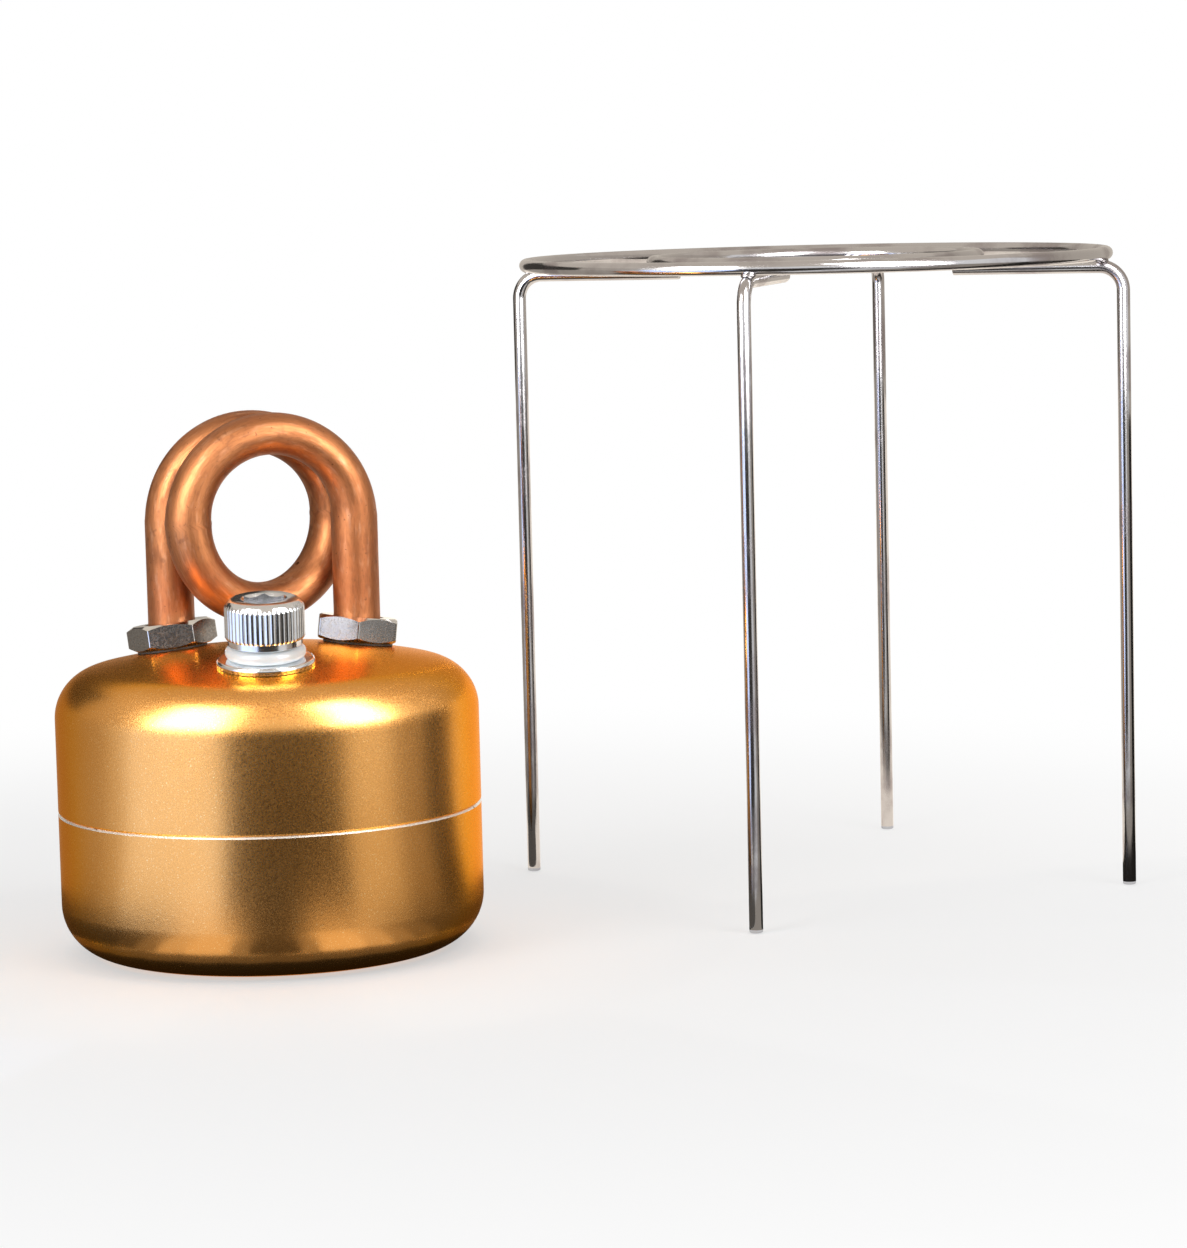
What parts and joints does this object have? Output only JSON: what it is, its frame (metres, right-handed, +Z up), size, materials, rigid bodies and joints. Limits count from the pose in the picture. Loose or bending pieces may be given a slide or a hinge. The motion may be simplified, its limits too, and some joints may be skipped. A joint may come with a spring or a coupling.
{
  "type": "alcohol stove",
  "caption": "Small domed metal fuel tank with a coiled copper burner tube, a screwed filler plug and a separate four-legged wire pot stand.",
  "frame": {"origin": "middle of the tank's flat foot, on the table", "axes": "+Z up along the tank's axis; the filler plug faces -Y; the pot stand stands towards +X and +Y"},
  "size_m": [0.1435, 0.1029, 0.086],
  "materials": {
    "gold_anodised": "satin blasted gold",
    "copper": "satin bare copper with brown heat stains",
    "polished_steel": "polished stainless steel",
    "plated_nut": "mottled matt faces with bright chamfers",
    "stand_wire": "bright wire",
    "silicone": "milky translucent silicone",
    "dark_seal": "matt",
    "cotton": "undyed cotton"
  },
  "bodies": {
    "stove": {"upper_shell": "gold_anodised", "lower_cup": "gold_anodised", "seam_seal": "dark_seal", "filler_insert": "polished_steel", "burner_tube": "copper", "left_outer_nut": "plated_nut", "right_outer_nut": "plated_nut", "left_gasket": "dark_seal", "right_gasket": "dark_seal", "left_inner_nut": "plated_nut", "right_inner_nut": "plated_nut", "left_inner_washer": "dark_seal", "right_inner_washer": "dark_seal", "left_wick": "cotton", "right_wick": "cotton", "fuel_pad": "cotton"},
    "plug_ring": {"plug_seal_ring": "silicone"},
    "plug": {"plug_screw": "polished_steel"},
    "stand": {"stand_outer_ring": "stand_wire", "stand_inner_ring": "stand_wire", "stand_leg_1": "stand_wire", "stand_leg_2": "stand_wire", "stand_leg_3": "stand_wire", "stand_leg_4": "stand_wire"}
  },
  "joints": [
    {"name": "plug_rise", "type": "slide", "parent": "stove", "child": "plug_ring", "axis": [0, -0.1274, 0.9919], "range_m": [0, 0.008]},
    {"name": "plug_turn", "type": "hinge", "parent": "plug_ring", "child": "plug", "pos_m": [0, -0.0135, 0.03804], "axis": [0, -0.1274, 0.9919], "range_deg": [0, 2880]},
    {"name": "stand_slide", "type": "slide", "parent": "stove", "child": "stand", "axis": [-0.9063, -0.4226, 0], "range_m": [0, 0.084]}
  ],
  "couplings": [
    {"joint": "plug_turn", "follows": "plug_rise", "rad_per_m": 6283.2}
  ]
}
